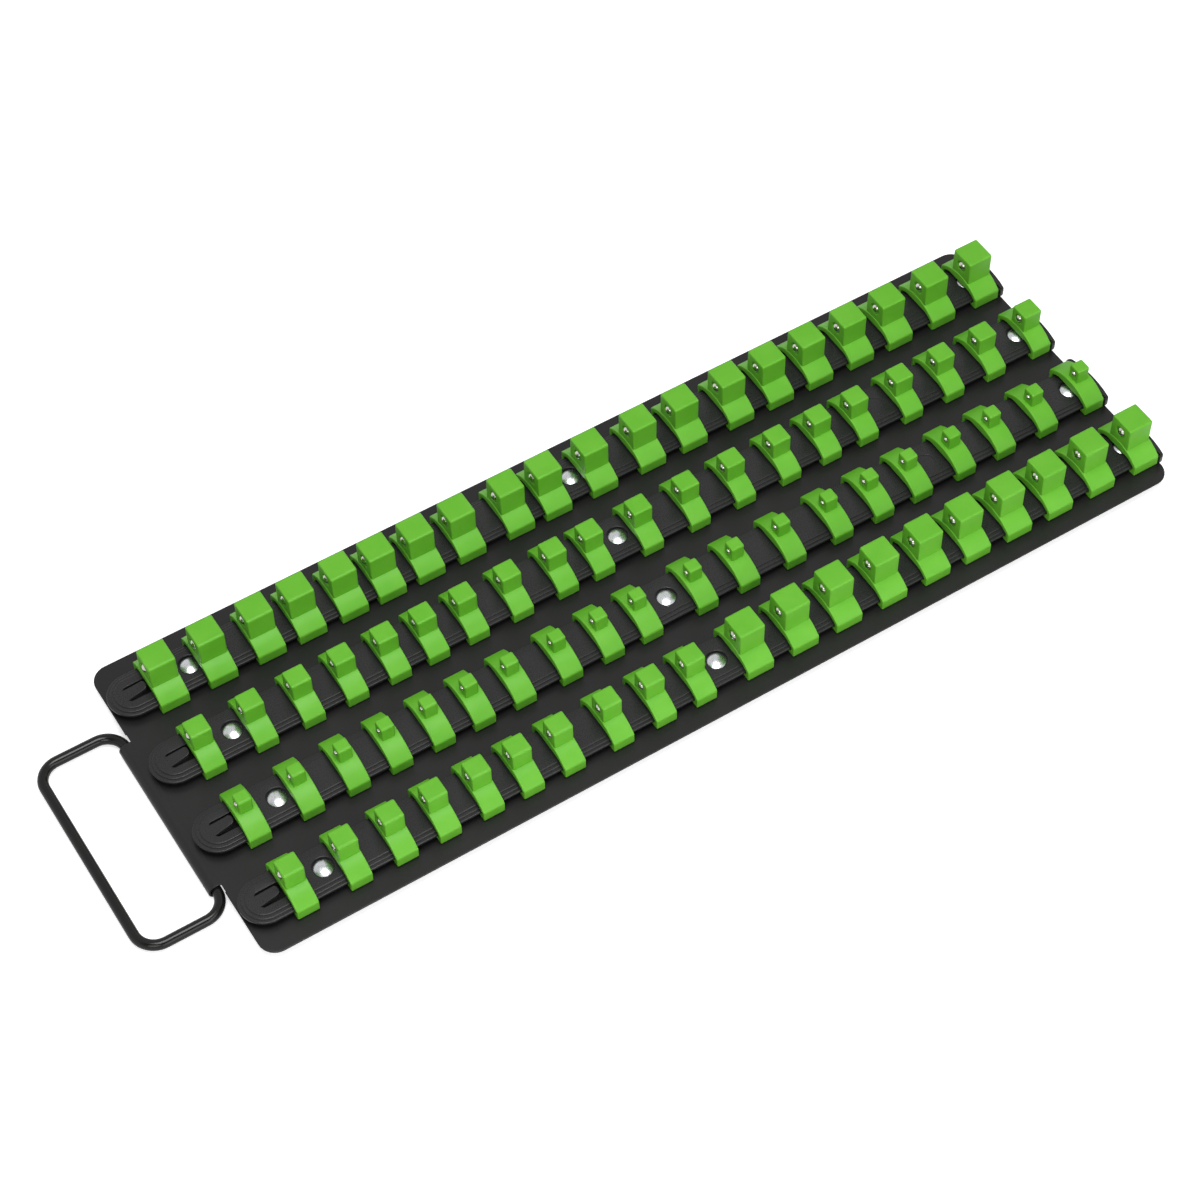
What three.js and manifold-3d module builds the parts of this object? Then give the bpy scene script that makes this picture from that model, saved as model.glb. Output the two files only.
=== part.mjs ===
// Socket rail tray: a flat sheet-steel tray with four moulded rails riveted on it.
// Clips with a square drive post slide along the rails, and a wire handle swings
// in a seam rolled from the tray's short edge.
// Millimetres. X runs along the rails, Y from the front edge to the back, Z up.
// The origin is under the middle of the whole tray, on the surface it stands on.

import * as THREE from 'three';
import { mergeVertices } from 'three/addons/utils/BufferGeometryUtils.js';
import Module from 'manifold-3d';

const wasm = await Module();
wasm.setup();

// Tray plate
const plateLength = 460.4;
const plateDepth = 164.4;
const sheetThickness = 1;
const plateCornerRadius = 8;
const plateCornerSteps = 3;

// Rolled seam, the handle's hinge
const rodDiameter = 4.8;
const rodPlay = 0.25;
const hingeOverhang = 2;
const seamEndPlay = 0.4;
const seamSweepDegrees = 225;
const seamSteps = 10;
const notchWidth = 4.3;
const notchDepth = 0.8;

// Carry handle
const handleReach = 38;
const handleSpan = 102.8;
const handleBendRadius = 9.8;
const handleButtGap = 1;
const handleBendSteps = 6;
const rodSides = 8;

// Rails: heights are above the plate's upper face
const rowCount = 4;
const rowPitchShare = 0.2421;
const stemHalfWidth = 8.5;
const lipHalfWidth = 11.2;
const ledgeHalfWidth = 9.7;
const topHalfWidth = 8;
const lipUnderside = 3;
const lipTop = 4.2;
const ledgeTop = 4.8;
const railTop = 5.4;
const headChamfer = 0.35;
const railArcSteps = 5;

// End-stop head at the right of each rail
const headHalfWidth = 14.6;
const headThickness = 4.3;
const headCrown = 1.9;
const headCornerRadius = 1.9;
const headUnderside = 1.5;
const headInset = 1.4;
const headArcSteps = 3;

// Springy stop tongue in its U slot at the left of each rail
const slotStart = 8.2;
const slotHalfWidth = 3.95;
const slotEndGap = 2;
const slotArcSteps = 1;
const tongueLength = 9.5;
const tongueHalfWidth = 2.9;
const tongueThickness = 1.8;
const tongueLift = 2.1;
const tongueTipRadius = 1.8;

// Rivets
const rivetHeadRadius = 4;
const rivetHeadHeight = 1.6;
const rivetShankRadius = 2.4;
const rivetTailRadius = 3.6;
const rivetTailHeight = 1.2;
const rivetRimHeight = 0.5;
const rivetHoleClearance = 0.35;
const domeShoulderShare = 0.6;
const rivetSides = 8;
const rivetLeftInset = 38.4;
const rivetRightInset = 11;
const recessRadius = 4.9;
const recessDepth = 1.4;
const recessSides = 12;
const spareSeatDepth = 0.4;
const spareSeatShare = 0.8;

// Clips: heights are above the plate's upper face
const clipHalfLength = 13.8;
const clipWall = 2;
const clipCrown = 11.3;
const clipArchRadius = 20;
const clipArchSteps = 4;
const clipShoulderRound = 0.9;
const clipFootGap = 0.3;
const hookReach = 4;
const hookTipHeight = 1.6;
const hookRoom = 0.4;
const lipRoom = 0.5;
const crownRoom = 1.6;
const crownFlatShare = 0.45;
const baseMargin = 0.3;
const postChamfer = 0.7;
const postRootDepth = 3;
const seatGap = 0.3;
const parkedBite = 0.15;

// Sprung balls: how far a ball stands out, and the ring sunk round it
const ballProud = 0.76;
const ringDepth = 0.8;
const ballPlay = 0.15;
const boreClearance = 0.3;
const boreEndWall = 1.8;
const domeSides = 6;
const domeRings = 4;
const ballSides = 10;
const ballRings = 6;
const boreSides = 12;

// Detent springs
const springTurns = 4;
const springStepsPerTurn = 8;
const springWireSides = 5;

// Drive sizes. The smallest post stands on the same base as the middle one.
const halfInch = {
  label: 'half_inch',
  post: 12.7,
  height: 23.1,
  ballRadius: 2.4,
  mouthRadius: 2.2,
  ringRadius: 2.9,
  wireRadius: 0.35,
};
const threeEighths = {
  label: 'three_eighths',
  post: 9.53,
  height: 20.5,
  ballRadius: 2,
  mouthRadius: 1.8,
  ringRadius: 2.4,
  wireRadius: 0.3,
};
const quarterInch = {
  label: 'quarter_inch',
  post: 6.35,
  height: 18.8,
  ballRadius: 1.2,
  mouthRadius: 1.05,
  ringRadius: 1.5,
  wireRadius: 0.2,
};
halfInch.base = halfInch.post + 2 * baseMargin;
threeEighths.base = threeEighths.post + 2 * baseMargin;
quarterInch.base = threeEighths.base;

// Rows from the back to the front. A gap share is the free length before a clip,
// as a share of all the free length between the stop tongue and the end-stop head.
// What is left over lies between the last clip and the head.
const clipsPerRow = 20;
const rows = [
  {
    driveOf: () => halfInch,
    showcase: 0,
    gapShares: [
      0.003, 0.057, 0.058, 0.038, 0.043, 0.032, 0.036, 0.043, 0.068, 0.035,
      0.062, 0.07, 0.052, 0.069, 0.049, 0.049, 0.055, 0.049, 0.064, 0.066,
    ],
  },
  {
    driveOf: () => threeEighths,
    showcase: 0,
    gapShares: [
      0.003, 0.061, 0.052, 0.046, 0.045, 0.037, 0.041, 0.051, 0.054, 0.036,
      0.064, 0.061, 0.059, 0.06, 0.05, 0.043, 0.061, 0.055, 0.056, 0.065,
    ],
  },
  {
    driveOf: () => quarterInch,
    showcase: 2,
    gapShares: [
      0.003, 0.062, 0.049, 0.043, 0.044, 0.04, 0.042, 0.055, 0.046, 0.04,
      0.077, 0.049, 0.06, 0.063, 0.05, 0.046, 0.057, 0.051, 0.057, 0.066,
    ],
  },
  {
    driveOf: (number) => (number <= clipsPerRow / 2 ? threeEighths : halfInch),
    showcase: 2,
    secondShowcase: 12,
    gapShares: [
      0.006, 0.071, 0.055, 0.05, 0.051, 0.045, 0.048, 0.067, 0.054, 0.049,
      0.077, 0.048, 0.046, 0.051, 0.048, 0.041, 0.045, 0.045, 0.049, 0.054,
    ],
  },
];

// Derived places
const rodRadius = rodDiameter / 2;
const seamInner = rodRadius + rodPlay;
const seamOuter = seamInner + sheetThickness;
const hingeZ = -seamInner;
const handleBack = hingeOverhang + handleReach + rodRadius;
const standHeight = seamOuter - hingeZ;
const headLeft = plateLength - headInset;
const headRight = headLeft + headThickness;
const endCentreX = lipHalfWidth;
const tongueTip = slotStart + tongueLength;
const slotCornerRadius = slotHalfWidth - tongueHalfWidth;
const rowPitch = plateDepth * rowPitchShare;
const seamWidth = handleSpan - 2 * handleBendRadius - 2 * seamEndPlay;
const overrun = 1;
const recessFloor = railTop - recessDepth;

const paint = new THREE.MeshStandardMaterial({ color: 0x2b2b2d, roughness: 0.45, metalness: 0.3 });
const rodPaint = new THREE.MeshStandardMaterial({ color: 0x1d1d1f, roughness: 0.35, metalness: 0.3 });
const railPlastic = new THREE.MeshStandardMaterial({ color: 0x303032, roughness: 0.5, metalness: 0 });
const clipPlastic = new THREE.MeshStandardMaterial({ color: 0x63bd3b, roughness: 0.42, metalness: 0 });
const rivetMetal = new THREE.MeshStandardMaterial({ color: 0xd4d6d8, roughness: 0.25, metalness: 1 });
const ballMetal = new THREE.MeshStandardMaterial({ color: 0xe4e4e6, roughness: 0.12, metalness: 1 });
const springMetal = new THREE.MeshStandardMaterial({ color: 0xb9bcc0, roughness: 0.35, metalness: 1 });

// A three.js geometry as a solid that can be joined and cut.
function toSolid(geometry) {
  const bare = geometry.clone();
  bare.deleteAttribute('normal');
  bare.deleteAttribute('uv');
  const merged = mergeVertices(bare);
  return new wasm.Manifold(
    new wasm.Mesh({
      numProp: 3,
      vertProperties: Float32Array.from(merged.attributes.position.array),
      triVerts: Uint32Array.from(merged.index.array),
    }),
  );
}

// A solid as a three.js geometry again.
function toGeometry(solid) {
  const mesh = solid.getMesh();
  const geometry = new THREE.BufferGeometry();
  geometry.setAttribute('position', new THREE.BufferAttribute(mesh.vertProperties, 3));
  geometry.setIndex(new THREE.BufferAttribute(mesh.triVerts, 1));
  geometry.computeVertexNormals();
  return geometry;
}

function namedMesh(name, geometry, material) {
  const mesh = new THREE.Mesh(geometry, material);
  mesh.name = name;
  return mesh;
}

// A plan outline raised from bottom to top, with an optional edge chamfer.
function raise(shape, bottom, top, chamfer = 0, curveSegments = railArcSteps) {
  const geometry = new THREE.ExtrudeGeometry(shape, {
    depth: top - bottom - 2 * chamfer,
    bevelEnabled: chamfer > 0,
    bevelThickness: chamfer,
    bevelSize: chamfer,
    bevelOffset: -chamfer,
    bevelSegments: 1,
    curveSegments,
  });
  return toSolid(geometry.translate(0, 0, bottom + chamfer));
}

// An outline in Y and Z, drawn out along X and centred on x = 0.
function drawAlongX(shape, width) {
  const geometry = new THREE.ExtrudeGeometry(shape, { depth: width, bevelEnabled: false });
  const alongX = new THREE.Matrix4().makeBasis(
    new THREE.Vector3(0, 1, 0),
    new THREE.Vector3(0, 0, 1),
    new THREE.Vector3(1, 0, 0),
  );
  return toSolid(geometry.applyMatrix4(alongX).translate(-width / 2, 0, 0));
}

// An outline in X and Z, drawn out along Y and centred on y = 0.
function drawAlongY(shape, width) {
  const geometry = new THREE.ExtrudeGeometry(shape, { depth: width, bevelEnabled: false });
  const alongY = new THREE.Matrix4().makeBasis(
    new THREE.Vector3(1, 0, 0),
    new THREE.Vector3(0, 0, 1),
    new THREE.Vector3(0, -1, 0),
  );
  return toSolid(geometry.applyMatrix4(alongY).translate(0, width / 2, 0));
}

function uprightCylinder(radius, bottom, top, sides) {
  const geometry = new THREE.CylinderGeometry(radius, radius, top - bottom, sides);
  return toSolid(geometry.rotateX(Math.PI / 2).translate(0, 0, (top + bottom) / 2));
}

// A cylinder along X from one place to another, at a height.
function levelCylinder(radius, left, right, height, sides) {
  const geometry = new THREE.CylinderGeometry(radius, radius, right - left, sides);
  return toSolid(geometry.rotateZ(Math.PI / 2).translate((left + right) / 2, 0, height));
}

function roundedRectangle(left, right, halfWidth, radius) {
  const shape = new THREE.Shape();
  const turn = Math.PI / 2;
  shape.absarc(right - radius, -halfWidth + radius, radius, -turn, 0);
  shape.absarc(right - radius, halfWidth - radius, radius, 0, turn);
  shape.absarc(left + radius, halfWidth - radius, radius, turn, 2 * turn);
  shape.absarc(left + radius, -halfWidth + radius, radius, 2 * turn, 3 * turn);
  return shape;
}

// A path through given stations that keeps to them, however far apart they lie.
class StationPath extends THREE.Curve {
  constructor(stations) {
    super();
    this.stations = stations;
  }

  getPoint(t) {
    const last = this.stations.length - 1;
    const place = THREE.MathUtils.clamp(t * last, 0, last);
    const before = Math.min(Math.floor(place), last - 1);
    return this.stations[before].clone().lerp(this.stations[before + 1], place - before);
  }

  getUtoTmapping(u) {
    return u;
  }
}

// A round rod or wire along a path of stations.
function rodAlong(stations, radius, sides) {
  const section = new THREE.Shape();
  for (let side = 0; side < sides; side += 1) {
    const angle = (2 * Math.PI * side) / sides;
    const corner = [radius * Math.cos(angle), radius * Math.sin(angle)];
    if (side === 0) {
      section.moveTo(...corner);
    } else {
      section.lineTo(...corner);
    }
  }
  return new THREE.ExtrudeGeometry(section, {
    steps: stations.length - 1,
    extrudePath: new StationPath(stations),
  });
}

// Where the rivets stand along a rail.
function rivetPlaces() {
  return [rivetLeftInset, plateLength / 2, plateLength - rivetRightInset];
}

// Where each row runs across the plate, from the back to the front.
function rowY(index) {
  return ((rowCount - 1) / 2 - index) * rowPitch;
}

// The tab rolled down round the rod: an open ring that grows out of the flat sheet.
function seamSection() {
  const shape = new THREE.Shape();
  const start = Math.PI / 2;
  const end = start + THREE.MathUtils.degToRad(seamSweepDegrees);
  const ringPoint = (radius, angle) => [
    -hingeOverhang + radius * Math.cos(angle),
    hingeZ + radius * Math.sin(angle),
  ];
  shape.moveTo(overrun, 0);
  shape.lineTo(overrun, sheetThickness);
  for (let step = 0; step <= seamSteps; step += 1) {
    shape.lineTo(...ringPoint(seamOuter, start + ((end - start) * step) / seamSteps));
  }
  for (let step = seamSteps; step >= 0; step -= 1) {
    shape.lineTo(...ringPoint(seamInner, start + ((end - start) * step) / seamSteps));
  }
  return shape;
}

function trayPlate() {
  const outline = roundedRectangle(0, plateLength, plateDepth / 2, plateCornerRadius);
  let plate = raise(outline, 0, sheetThickness, 0, plateCornerSteps);
  const notch = new THREE.BoxGeometry(2 * notchDepth, notchWidth, 2 * overrun + sheetThickness);
  for (const side of [-1, 1]) {
    const notchY = side * (seamWidth + notchWidth) / 2;
    plate = plate.subtract(toSolid(notch).translate([0, notchY, sheetThickness / 2]));
  }
  plate = plate.add(drawAlongY(seamSection(), seamWidth));
  const holeRadius = rivetShankRadius + rivetHoleClearance;
  for (let index = 0; index < rowCount; index += 1) {
    for (const x of rivetPlaces()) {
      const hole = uprightCylinder(holeRadius, -overrun, sheetThickness + overrun, rivetSides);
      plate = plate.subtract(hole.translate([x, rowY(index), 0]));
    }
  }
  return toGeometry(plate);
}

// The handle's centre line: out of the seam, round four bends and back into it.
function handleStations() {
  const left = -handleReach;
  const half = handleSpan / 2;
  const bends = [
    { x: -handleBendRadius, y: half - handleBendRadius, from: 0 },
    { x: left + handleBendRadius, y: half - handleBendRadius, from: 90 },
    { x: left + handleBendRadius, y: -half + handleBendRadius, from: 180 },
    { x: -handleBendRadius, y: -half + handleBendRadius, from: 270 },
  ];
  const stations = [new THREE.Vector3(0, handleButtGap / 2, 0)];
  for (const bend of bends) {
    for (let step = 0; step <= handleBendSteps; step += 1) {
      const angle = THREE.MathUtils.degToRad(bend.from + (90 * step) / handleBendSteps);
      const x = bend.x + handleBendRadius * Math.cos(angle);
      const y = bend.y + handleBendRadius * Math.sin(angle);
      stations.push(new THREE.Vector3(x, y, 0));
    }
  }
  stations.push(new THREE.Vector3(0, -handleButtGap / 2, 0));
  return stations;
}

// The head that the last clip stops against: flat inside, gently crowned outside.
function endStopHead() {
  const shape = new THREE.Shape();
  const shoulderX = headRight - headCrown - headCornerRadius;
  shape.moveTo(headLeft, -headHalfWidth);
  shape.lineTo(shoulderX, -headHalfWidth);
  shape.quadraticCurveTo(
    headRight - headCrown, -headHalfWidth,
    headRight - headCrown, -headHalfWidth + headCornerRadius,
  );
  shape.quadraticCurveTo(headRight + headCrown, 0,
    headRight - headCrown, headHalfWidth - headCornerRadius);
  shape.quadraticCurveTo(headRight - headCrown, headHalfWidth, shoulderX, headHalfWidth);
  shape.lineTo(headLeft, headHalfWidth);
  return raise(shape, headUnderside, railTop, headChamfer, headArcSteps);
}

// One level of the rail: straight sides, round left end, open to the head.
function railLevel(halfWidth, bottom, top) {
  const right = headLeft + overrun;
  const shape = new THREE.Shape();
  shape.moveTo(right, -halfWidth);
  shape.lineTo(right, halfWidth);
  shape.absarc(endCentreX, 0, halfWidth, Math.PI / 2, 1.5 * Math.PI);
  return raise(shape, bottom, top);
}

// The sprung tongue: level at its root, climbing to a rounded raised tip.
function stopTongue() {
  const side = new THREE.Shape();
  const underside = railTop - tongueThickness;
  side.moveTo(slotStart - overrun, underside);
  side.lineTo(slotStart, underside);
  side.lineTo(tongueTip, underside + tongueLift);
  side.lineTo(tongueTip, railTop + tongueLift);
  side.lineTo(slotStart, railTop);
  side.lineTo(slotStart - overrun, railTop);
  const plan = roundedRectangle(
    slotStart - tongueLength, tongueTip, tongueHalfWidth, tongueTipRadius,
  );
  const height = railTop + tongueLift + overrun;
  return drawAlongY(side, 2 * slotHalfWidth).intersect(raise(plan, 0, height, 0, slotArcSteps));
}

// A rail without its clips, in the frame of its row: z = 0 on the plate.
function bareRail() {
  let rail = railLevel(stemHalfWidth, 0, lipTop - overrun / 2);
  rail = rail.add(railLevel(lipHalfWidth, lipUnderside, lipTop));
  rail = rail.add(railLevel(ledgeHalfWidth, lipUnderside, ledgeTop));
  rail = rail.add(railLevel(topHalfWidth, lipUnderside, railTop));
  const slotEnd = tongueTip + slotEndGap;
  const slot = roundedRectangle(slotStart, slotEnd, slotHalfWidth, slotCornerRadius);
  rail = rail.subtract(raise(slot, -overrun, railTop + overrun, 0, slotArcSteps));
  rail = rail.add(stopTongue());
  rail = rail.add(endStopHead());
  const holeRadius = rivetShankRadius + rivetHoleClearance;
  for (const x of rivetPlaces()) {
    const recess = uprightCylinder(recessRadius, recessFloor, railTop + overrun, recessSides);
    const hole = uprightCylinder(holeRadius, -overrun, railTop, rivetSides);
    rail = rail.subtract(recess.translate([x, 0, 0]));
    rail = rail.subtract(hole.translate([x, 0, 0]));
  }
  const spareFloor = railTop - spareSeatDepth;
  const spare = uprightCylinder(recessRadius, spareFloor, railTop + overrun, recessSides);
  return rail.subtract(spare.translate([plateLength * spareSeatShare, 0, 0]));
}

// A rivet on its axis: tail under the plate, shank, and a domed head in its recess.
function rivet() {
  const tailSeat = -sheetThickness;
  const tail = tailSeat - rivetTailHeight;
  const domeTop = recessFloor + rivetHeadHeight;
  const profile = [
    [0, tail],
    [rivetTailRadius, tail],
    [rivetTailRadius, tailSeat],
    [rivetShankRadius, tailSeat],
    [rivetShankRadius, recessFloor],
    [rivetHeadRadius, recessFloor],
    [rivetHeadRadius, recessFloor + rivetRimHeight],
    [rivetHeadRadius * domeShoulderShare, domeTop - rivetRimHeight / 2],
    [0, domeTop],
  ].map(([radius, height]) => new THREE.Vector2(radius, height));
  return new THREE.LatheGeometry(profile, rivetSides).rotateX(Math.PI / 2);
}

// The bridge's outer line in Y and Z, from one shoulder over the crown to the other.
function clipOuterPoints() {
  const edge = clipHalfLength - clipShoulderRound;
  const archHeight = (y) => clipCrown - clipArchRadius + Math.sqrt(clipArchRadius ** 2 - y ** 2);
  const points = [];
  for (let step = 0; step <= clipArchSteps; step += 1) {
    const y = edge * (1 - (2 * step) / clipArchSteps);
    points.push([y, archHeight(y)]);
  }
  const shoulder = archHeight(edge) - clipShoulderRound;
  points.unshift([clipHalfLength, shoulder]);
  points.push([-clipHalfLength, shoulder]);
  return points;
}

// The clip's section across the rail. A parked clip's walls close on the rail's lips.
function clipSection(parked) {
  const inner = parked ? lipHalfWidth - parkedBite : clipHalfLength - clipWall;
  const hookTip = clipHalfLength - hookReach;
  const hookRoot = lipUnderside - hookRoom;
  const half = [
    [clipHalfLength, clipFootGap],
    [hookTip, clipFootGap],
    [hookTip, hookTipHeight],
    [inner, hookRoot],
    [inner, lipTop + lipRoom],
    [topHalfWidth * crownFlatShare, railTop + crownRoom],
  ];
  const innerLeft = half.map(([y, z]) => [-y, z]);
  const points = [...clipOuterPoints(), ...innerLeft, ...half.reverse()];
  return new THREE.Shape(points.map(([y, z]) => new THREE.Vector2(y, z)));
}

// The square drive post, rooted in the clip's bridge, with softened top edges.
function drivePost(drive) {
  const half = drive.post / 2;
  const root = clipCrown - postRootDepth;
  const square = new THREE.Shape();
  square.moveTo(-half, -half);
  square.lineTo(half, -half);
  square.lineTo(half, half);
  square.lineTo(-half, half);
  return raise(square, root, drive.height, postChamfer);
}

// The ball stands half way up the part of the post that shows.
function ballHeight(drive) {
  return (clipCrown + drive.height) / 2;
}

// How far behind the post's face the ball's centre lies.
function ballDepth(drive) {
  return drive.ballRadius - ballProud;
}

// A ball fixed in its ring, as the clips that aren't opened up show it.
function fixedBall(drive) {
  const dome = new THREE.SphereGeometry(drive.ballRadius, domeSides, domeRings);
  dome.rotateZ(Math.PI / 2).scale(ballProud / drive.ballRadius, 1, 1);
  return toSolid(dome.translate(-drive.post / 2, 0, ballHeight(drive)));
}

// The ring, the narrower mouth that keeps the ball in, and the bore behind it.
function ballBore(drive) {
  const face = -drive.post / 2;
  const height = ballHeight(drive);
  const boreRadius = drive.ballRadius + boreClearance;
  const ring = levelCylinder(drive.ringRadius, face - overrun, face + ringDepth, height, boreSides);
  const mouthReach = Math.sqrt(drive.ballRadius ** 2 - drive.mouthRadius ** 2);
  const boreStart = face + ballDepth(drive) - mouthReach + ballPlay;
  const mouth = levelCylinder(drive.mouthRadius + ballPlay, face - overrun, boreStart + ballPlay,
    height, boreSides);
  const boreEnd = -face - boreEndWall;
  const bore = levelCylinder(boreRadius, boreStart, boreEnd, height, boreSides);
  return ring.add(mouth).add(bore);
}

function clipSolid(drive, parked) {
  return drawAlongX(clipSection(parked), drive.base).add(drivePost(drive));
}

function slidingClip(drive) {
  return toGeometry(clipSolid(drive, false).add(fixedBall(drive)));
}

function boredClip(drive) {
  return toGeometry(clipSolid(drive, false).subtract(ballBore(drive)));
}

function looseBall(drive) {
  const ball = new THREE.SphereGeometry(drive.ballRadius, ballSides, ballRings);
  return ball.rotateZ(Math.PI / 2);
}

// A compression spring from the ball's back to the end of its bore.
function detentSpring(drive) {
  const coilRadius = drive.ballRadius + boreClearance - drive.wireRadius - seatGap;
  const ballBack = Math.sqrt(drive.ballRadius ** 2 - coilRadius ** 2);
  const start = ballDepth(drive) + ballBack + drive.wireRadius + ballPlay;
  const end = drive.post - boreEndWall - drive.wireRadius - ballPlay;
  const steps = springTurns * springStepsPerTurn;
  const stations = [];
  for (let step = 0; step <= steps; step += 1) {
    const angle = (2 * Math.PI * step) / springStepsPerTurn;
    stations.push(new THREE.Vector3(
      start + ((end - start) * step) / steps,
      coilRadius * Math.cos(angle),
      coilRadius * Math.sin(angle),
    ));
  }
  return rodAlong(stations, drive.wireRadius, springWireSides);
}

// The middle of each clip along a row.
function clipPlaces(row) {
  const drives = row.gapShares.map((share, index) => row.driveOf(index + 1));
  const left = tongueTip;
  const used = drives.reduce((sum, drive) => sum + drive.base, 0);
  const free = headLeft - seatGap - left - used;
  const places = [];
  let reached = left;
  row.gapShares.forEach((share, index) => {
    const { base } = drives[index];
    reached += share * free;
    places.push({ drive: drives[index], number: index + 1, x: reached + base / 2 });
    reached += base;
  });
  return places;
}

// Every second clip slides. The clips between them stay parked on the rail.
function slides(number) {
  return number % 2 === 0 && number < clipsPerRow;
}

function railWithParkedClips(row) {
  let rail = bareRail();
  for (const { drive, number, x } of clipPlaces(row)) {
    if (!slides(number)) {
      const clip = clipSolid(drive, true).add(fixedBall(drive));
      rail = rail.add(clip.translate([x, 0, 0]));
    }
  }
  return toGeometry(rail);
}

// A sliding clip, and for a showcase clip its own ball and spring.
function addSlidingClip(group, row, rowNumber, { drive, number, x }) {
  const opened = number === row.showcase || number === row.secondShowcase;
  const geometry = opened ? boredClip(drive) : slidingClip(drive);
  const label = `row${rowNumber}_${String(number).padStart(2, '0')}`;
  const clip = namedMesh(`clip_${label}`, geometry, clipPlastic);
  clip.position.x = x;
  group.add(clip);
  if (opened) {
    const face = x - drive.post / 2;
    const ball = namedMesh(`ball_${drive.label}`, looseBall(drive), ballMetal);
    ball.position.set(face + ballDepth(drive), 0, ballHeight(drive));
    const spring = namedMesh(`spring_${drive.label}`, detentSpring(drive), springMetal);
    spring.position.set(face, 0, ballHeight(drive));
    group.add(ball, spring);
  }
}

function rowGroup(row, index) {
  const group = new THREE.Group();
  const rowNumber = index + 1;
  group.add(namedMesh(`rail_row${rowNumber}`, railWithParkedClips(row), railPlastic));
  rivetPlaces().forEach((x, place) => {
    const mesh = namedMesh(`rivet_row${rowNumber}_${place + 1}`, rivet(), rivetMetal);
    mesh.position.x = x;
    group.add(mesh);
  });
  for (const place of clipPlaces(row)) {
    if (slides(place.number)) {
      addSlidingClip(group, row, rowNumber, place);
    }
  }
  group.position.set(0, rowY(index), sheetThickness);
  return group;
}

const tray = new THREE.Group();
tray.name = 'socket_rail_tray';
tray.add(namedMesh('tray_plate', trayPlate(), paint));
const handle = namedMesh('carry_handle', rodAlong(handleStations(), rodRadius, rodSides), rodPaint);
handle.position.set(-hingeOverhang, 0, hingeZ);
tray.add(handle);
rows.forEach((row, index) => tray.add(rowGroup(row, index)));
tray.position.set((handleBack - headRight) / 2, 0, standHeight);

export default tray;
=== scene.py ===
"""Dresses the socket rail tray: sheet, rails, clips, sprung balls, rivets and handle.

Sizes are in millimetres in the tray's own layout: x runs along the rails from the sheet's
left edge, y across them from the middle, and z up from the sheet's upper face. The meshes
are made in metres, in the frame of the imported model.
"""

import logging
import math
from dataclasses import dataclass, field
from enum import Enum
from typing import Iterable, Sequence

import bmesh
import bpy
from mathutils import Matrix, Vector
from mathutils.geometry import delaunay_2d_cdt


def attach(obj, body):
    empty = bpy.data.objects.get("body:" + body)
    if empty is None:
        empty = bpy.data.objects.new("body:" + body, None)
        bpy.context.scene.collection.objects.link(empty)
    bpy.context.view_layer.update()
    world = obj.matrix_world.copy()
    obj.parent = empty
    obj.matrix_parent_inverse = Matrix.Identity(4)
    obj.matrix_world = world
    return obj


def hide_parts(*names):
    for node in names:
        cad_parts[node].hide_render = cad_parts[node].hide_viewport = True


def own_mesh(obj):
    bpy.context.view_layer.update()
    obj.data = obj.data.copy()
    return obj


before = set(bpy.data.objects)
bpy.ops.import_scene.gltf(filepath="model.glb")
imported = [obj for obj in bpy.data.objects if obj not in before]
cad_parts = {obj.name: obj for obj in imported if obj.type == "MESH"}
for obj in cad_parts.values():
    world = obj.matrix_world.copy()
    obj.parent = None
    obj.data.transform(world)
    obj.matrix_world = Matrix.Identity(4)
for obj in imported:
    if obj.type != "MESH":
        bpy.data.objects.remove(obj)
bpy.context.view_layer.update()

LOG = logging.getLogger("socket_rail_tray")
MM = 0.001

# The sheet's thickness, the layout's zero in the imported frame, and how far apart are kept two
# faces of one piece that would otherwise lie in one plane. All in millimetres.
SHEET = 1.0
LEFT_EDGE_X = -210.45
TOP_FACE_Z = 7.3
OVERLAP = 0.01

# Edges that turn by more than this stay sharp.
SHARP_ANGLE = math.radians(48)

# The sharpest corner that inset still follows, as the cosine of half its turn.
MITRE_LIMIT = 0.35

# How near two points are one: in metres in a mesh, and in millimetres in a flat face.
WELD = 1e-7
TOUCH = 1e-6

Point2 = tuple[float, float]
Point3 = tuple[float, float, float]
Ring = list[int]
Edge = tuple[int, int]
Mesh = bpy.types.Mesh
Node = bpy.types.Node
Socket = bpy.types.NodeSocket
Tree = bpy.types.NodeTree


# Outlines


def linear(hex_code: str) -> tuple[float, float, float, float]:
    """Turns an sRGB hex colour into linear RGBA.

    Args:
        hex_code: Six hex digits, such as "72C043".

    Returns:
        The linear colour with an alpha of 1.
    """
    channels = [int(hex_code[i : i + 2], 16) / 255 for i in (0, 2, 4)]
    red, green, blue = (c / 12.92 if c <= 0.04045 else ((c + 0.055) / 1.055) ** 2.4 for c in channels)
    return (red, green, blue, 1.0)


def area_of(outline: Sequence[Point2]) -> float:
    """Signed area of a closed outline, positive where it runs counter-clockwise."""
    sides = zip(outline, [*outline[1:], outline[0]])
    return sum(a[0] * b[1] - b[0] * a[1] for a, b in sides) / 2


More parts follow.
